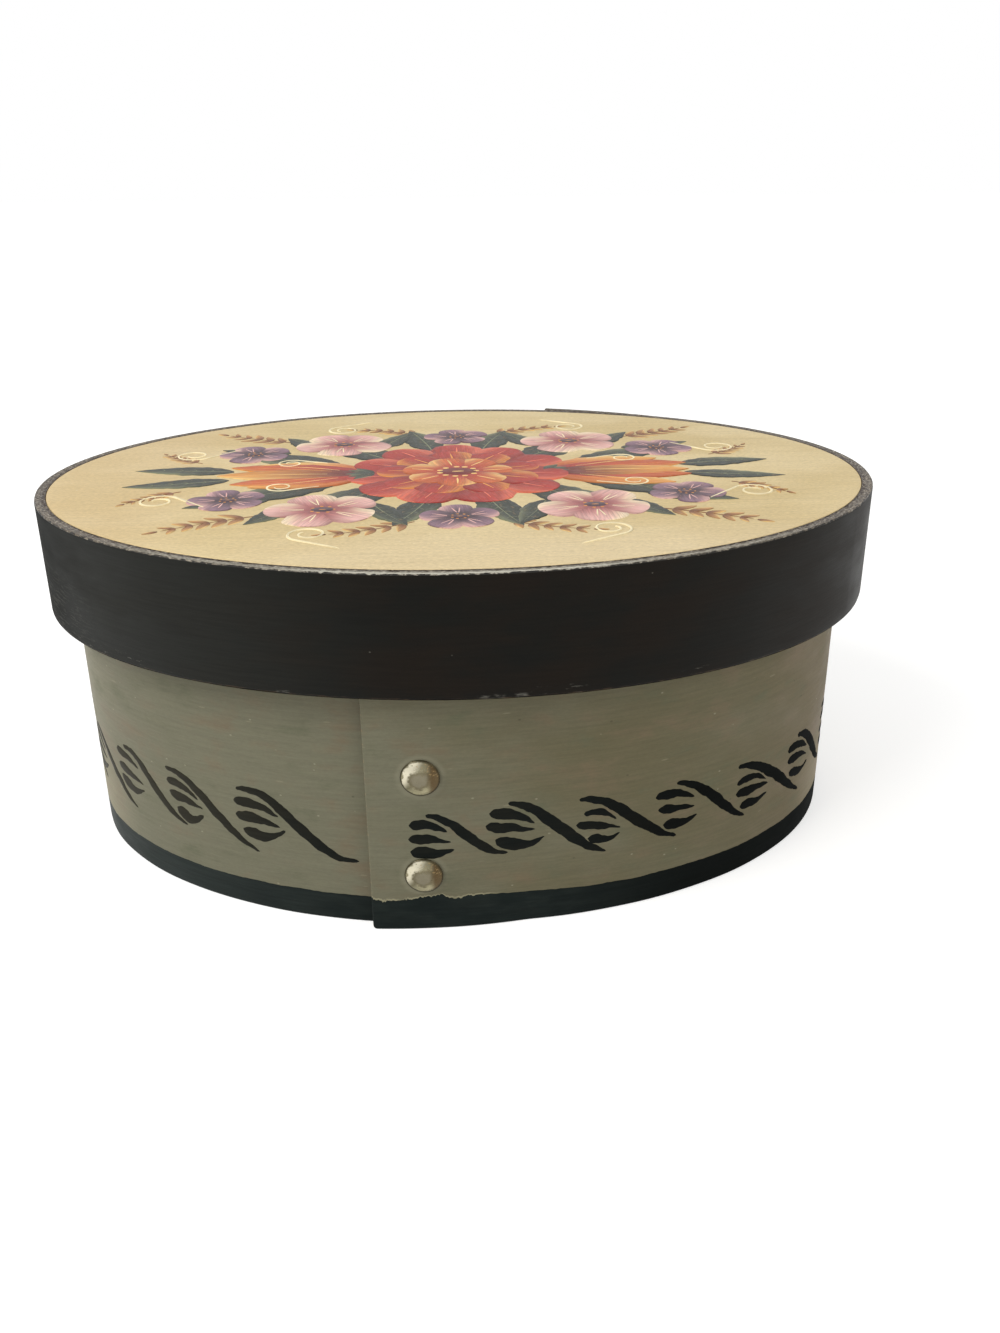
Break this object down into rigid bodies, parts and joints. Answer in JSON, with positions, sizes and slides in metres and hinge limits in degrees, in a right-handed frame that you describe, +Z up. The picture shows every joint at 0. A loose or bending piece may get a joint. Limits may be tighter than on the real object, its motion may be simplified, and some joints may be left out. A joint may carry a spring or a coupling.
{
  "type": "oval bentwood box with lift-off lid",
  "caption": "Oval bentwood box with lapped, riveted bands and a slip-over lid that lifts straight off, for dry goods or keepsakes.",
  "frame": {"origin": "centre of the oval, on the plane the box stands on", "axes": "+X along the oval's length, -Y is the front, where the box band's riveted lap is, +Z up, the way the lid lifts"},
  "size_m": [0.305, 0.229, 0.128],
  "materials": {
    "green_painted_band": "matte sage green paint on bent wood",
    "bare_wood_board": "bare planed wood",
    "black_painted_band": "satin black paint on bent wood, rim rubbed bare",
    "cream_painted_board": null,
    "nickel_rivet": "tarnished nickel",
    "steel_washer": "plain steel"
  },
  "bodies": {
    "box": {"box_band": "green_painted_band", "bottom_board": "bare_wood_board", "box_rivet_lower": "nickel_rivet", "box_rivet_middle": "nickel_rivet", "box_rivet_upper": "nickel_rivet", "box_washer_lower": "steel_washer", "box_washer_middle": "steel_washer", "box_washer_upper": "steel_washer"},
    "lid": {"lid_band": "black_painted_band", "lid_board": "cream_painted_board", "lid_rivet_lower": "nickel_rivet", "lid_rivet_upper": "nickel_rivet", "lid_washer_lower": "steel_washer", "lid_washer_upper": "steel_washer"}
  },
  "joints": [
    {"name": "lid_lift", "type": "slide", "parent": "box", "child": "lid", "axis": [0, 0, 1], "range_m": [0, 0.12]}
  ]
}
